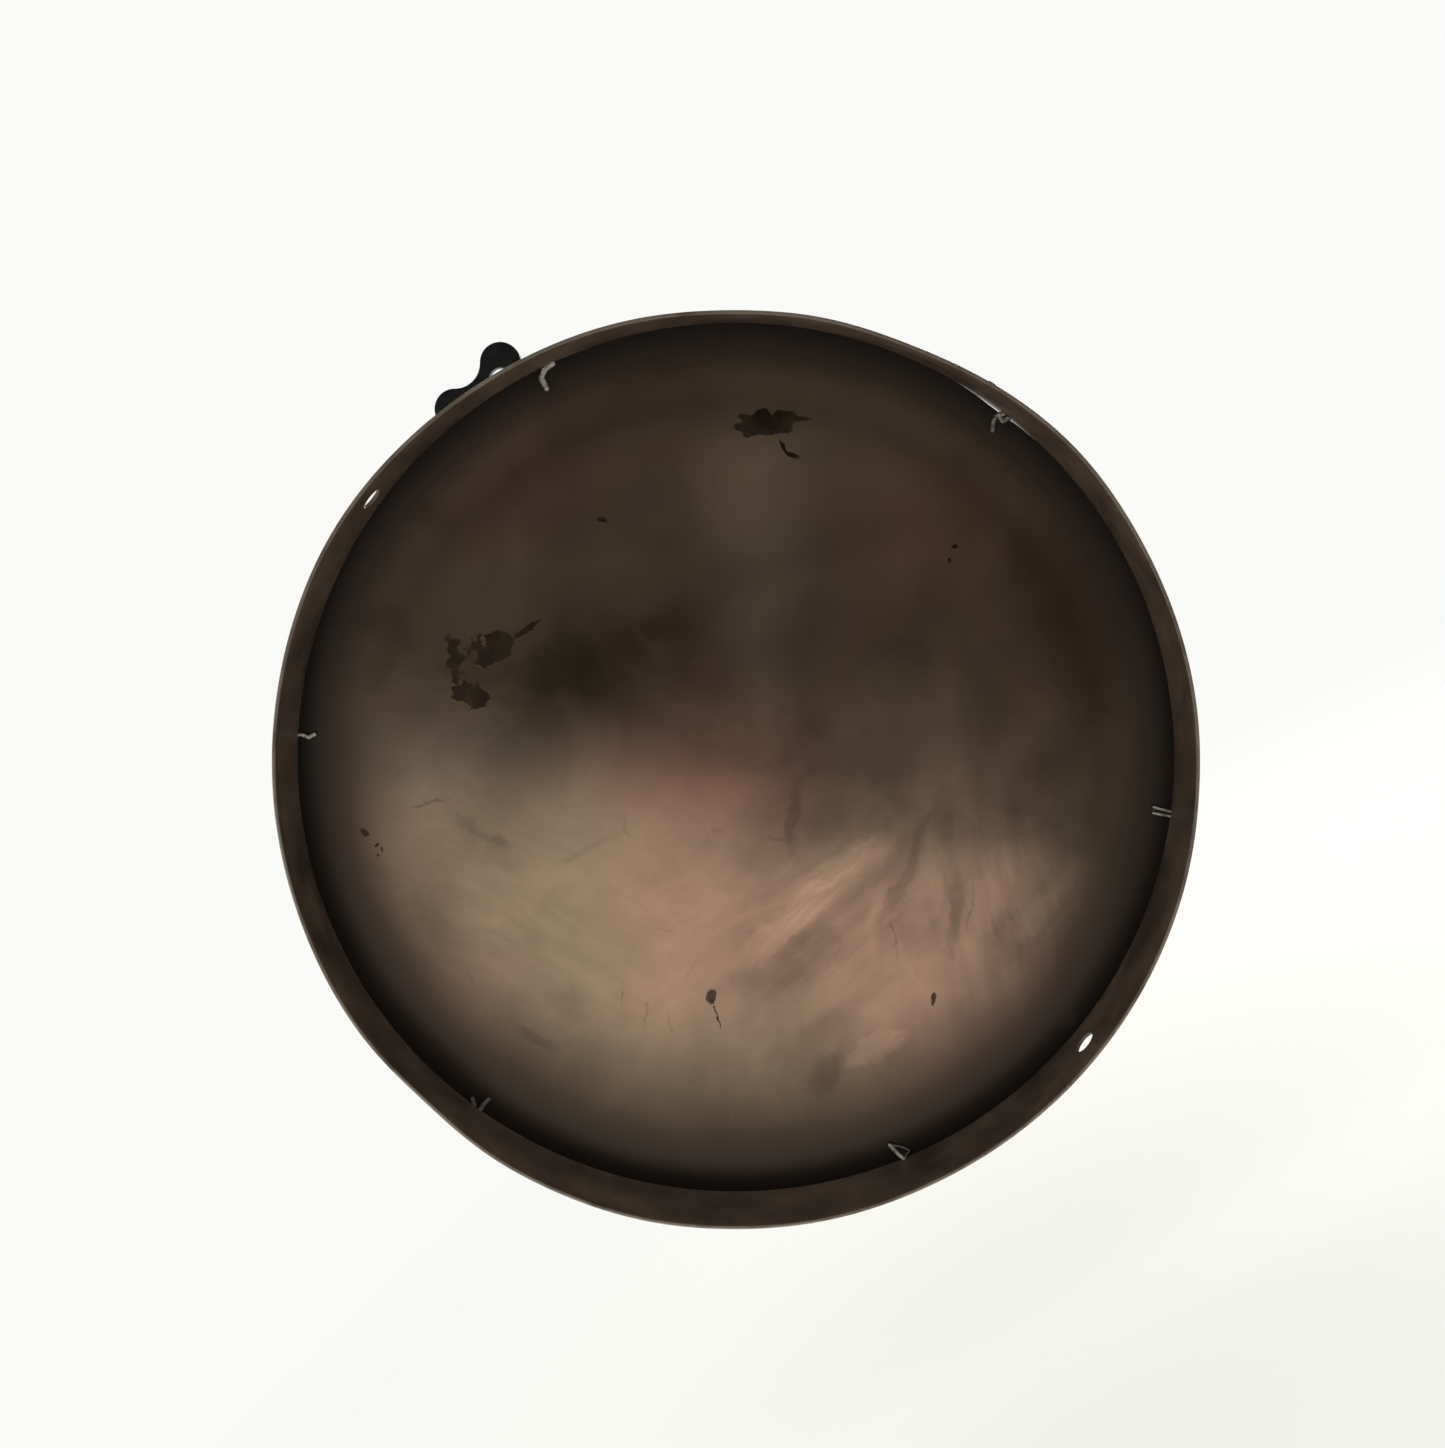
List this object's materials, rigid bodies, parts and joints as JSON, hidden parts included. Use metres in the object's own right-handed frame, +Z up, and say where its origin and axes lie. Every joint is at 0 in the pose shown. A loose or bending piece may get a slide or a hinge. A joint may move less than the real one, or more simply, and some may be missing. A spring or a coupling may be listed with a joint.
{
  "type": "tam-tam gong",
  "caption": "Shallow steel tam-tam with an open back: a domed striking plate tack-welded in a deep rolled hoop, hung from a lobed hanger plate that turns on a stud.",
  "frame": {"origin": "the point the gong hangs from: the stud's axis at the middle of the hanger plate's thickness", "axes": "+Z up as the gong hangs; +Y along the gong's axis towards the striking face, so the open back faces -Y; +X to the right seen from the open back"},
  "size_m": [0.5005, 0.074, 0.5233],
  "materials": {
    "plate_steel": "brown lacquer over heat-darkened sheet, semi-gloss",
    "hoop_steel": "dark mill scale, satin",
    "weld_metal": "bare weld bead",
    "black_casting": "black paint, satin",
    "zinc_steel": "zinc plated",
    "bush_bronze": "sintered bronze"
  },
  "bodies": {
    "gong": {"striking_plate": "plate_steel", "rim_hoop": "hoop_steel", "hoop_seam_weld": "weld_metal", "hanger_stud": "zinc_steel", "stud_weld_collar": "weld_metal", "hanger_spacer": "zinc_steel", "inner_washer": "zinc_steel", "outer_washer": "zinc_steel", "spring_washer": "zinc_steel", "hanger_nut": "zinc_steel", "tack_weld_1": "weld_metal", "tack_weld_2": "weld_metal", "tack_weld_3": "weld_metal", "tack_weld_4": "weld_metal", "tack_weld_5": "weld_metal", "tack_weld_6": "weld_metal"},
    "hanger": {"hanger_plate": "black_casting", "pivot_bush": "bush_bronze"}
  },
  "joints": [
    {"name": "hanger_swivel", "type": "hinge", "parent": "gong", "child": "hanger", "pos_m": [0, 0, 0], "axis": [0, 1, 0], "continuous": true}
  ]
}
